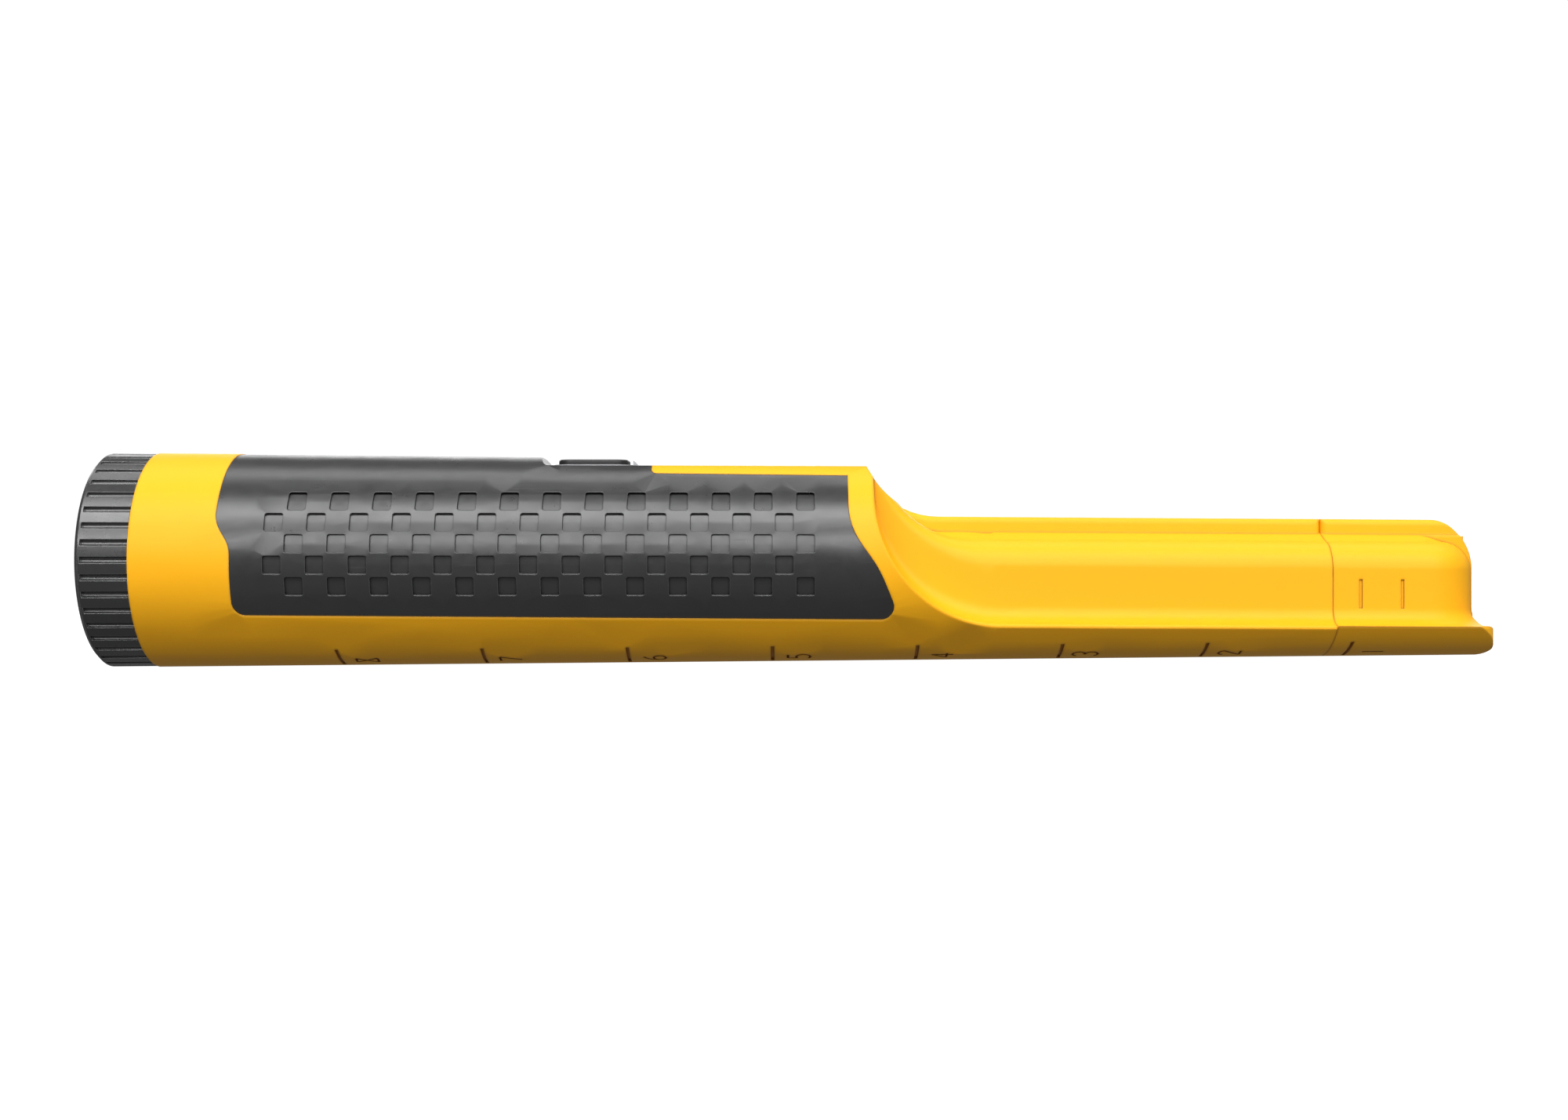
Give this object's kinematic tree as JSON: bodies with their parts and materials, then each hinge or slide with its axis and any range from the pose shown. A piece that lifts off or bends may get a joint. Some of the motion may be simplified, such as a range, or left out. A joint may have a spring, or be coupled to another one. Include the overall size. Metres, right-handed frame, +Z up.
{
  "type": "hand-held metal detector",
  "caption": "Hand-held pinpointing metal detector: round rubber grip with push button, screw battery cap and a scoop-shaped search tip with an inch scale.",
  "frame": {"origin": "centre of the battery cap's flat end, on the body's axis", "axes": "+X along the body from the cap to the search tip, +Z up through the push button"},
  "size_m": [0.246, 0.0384, 0.0384],
  "materials": {
    "yellow_shell": "satin moulded plastic",
    "yellow_tip": "satin moulded plastic",
    "grip_rubber": "soft overmoulded rubber, satin",
    "button_rubber": "smooth black rubber",
    "bezel_grey": "fine satin",
    "lens_clear": "frosted clear plastic",
    "lamp_body": "clear epoxy",
    "plate_silver": "smooth printed film, blank",
    "cap_black": "ribbed moulded plastic, satin",
    "seal_rubber": "lightly greased",
    "foam_grey": "closed-cell foam",
    "battery_jacket": "painted metal jacket, blank",
    "terminal_plated": "nickel plated",
    "snap_black": "moulded plastic",
    "contact_plated": "nickel plated",
    "lead_red": "smooth insulation",
    "chassis_grey": "moulded plastic",
    "board_green": "solder mask",
    "screw_steel": "zinc plated",
    "switch_black": "moulded plastic",
    "plunger_white": "moulded plastic",
    "chip_black": "moulded resin",
    "capacitor_can": "drawn can",
    "chip_parts": "ceramic chips",
    "buzzer_black": "moulded plastic",
    "motor_steel": "drawn can",
    "shaft_steel": "ground",
    "weight_brass": "sintered",
    "holder_rubber": "soft rubber",
    "ferrite_grey": "fired ferrite",
    "bobbin_natural": "natural nylon",
    "copper_wire": "enamelled copper",
    "shield_foil": "foil tape",
    "lead_green": "smooth insulation"
  },
  "bodies": {
    "root": {"main_housing": "yellow_shell", "grip_sleeve": "grip_rubber", "button_bezel": "bezel_grey", "lamp_lens": "lens_clear", "lamp": "lamp_body", "name_plate": "plate_silver", "battery": "battery_jacket", "battery_terminals": "terminal_plated", "battery_snap": "snap_black", "snap_contacts": "contact_plated", "battery_leads": "lead_red", "chassis": "chassis_grey", "circuit_board": "board_green", "board_screws": "screw_steel", "switch_body": "switch_black", "controller_chip": "chip_black", "capacitors": "capacitor_can", "small_parts": "chip_parts", "buzzer": "buzzer_black", "motor_can": "motor_steel", "motor_holder": "holder_rubber", "ferrite_rod": "ferrite_grey", "coil_bobbin": "bobbin_natural", "search_coil": "copper_wire", "coil_shield": "shield_foil", "coil_leads": "lead_green", "nose_bumper": "foam_grey"},
    "button": {"button_pad": "button_rubber", "switch_plunger": "plunger_white"},
    "seal": {"cap_seal": "seal_rubber"},
    "cap": {"battery_cap": "cap_black", "cap_spigot": "cap_black", "cap_pad": "foam_grey"},
    "weight": {"motor_weight": "weight_brass", "motor_shaft": "shaft_steel"},
    "tip": {"tip_cover": "yellow_tip"}
  },
  "joints": [
    {"name": "button_press", "type": "slide", "parent": "root", "child": "button", "axis": [0, 0, -1], "range_m": [0, 0.0008], "stiffness_N_per_m": 900},
    {"name": "cap_advance", "type": "slide", "parent": "root", "child": "seal", "axis": [-1, 0, 0], "range_m": [0, 0.0045]},
    {"name": "cap_turn", "type": "hinge", "parent": "seal", "child": "cap", "pos_m": [0, 0, 0], "axis": [-1, 0, 0], "range_deg": [0, 540]},
    {"name": "motor_spin", "type": "hinge", "parent": "root", "child": "weight", "pos_m": [0.1, 0, 0.0005], "axis": [1, 0, 0], "continuous": true},
    {"name": "tip_pull", "type": "slide", "parent": "root", "child": "tip", "axis": [1, 0, 0], "range_m": [0, 0.024]}
  ],
  "couplings": [
    {"joint": "cap_turn", "follows": "cap_advance", "rad_per_m": 2094.4}
  ]
}
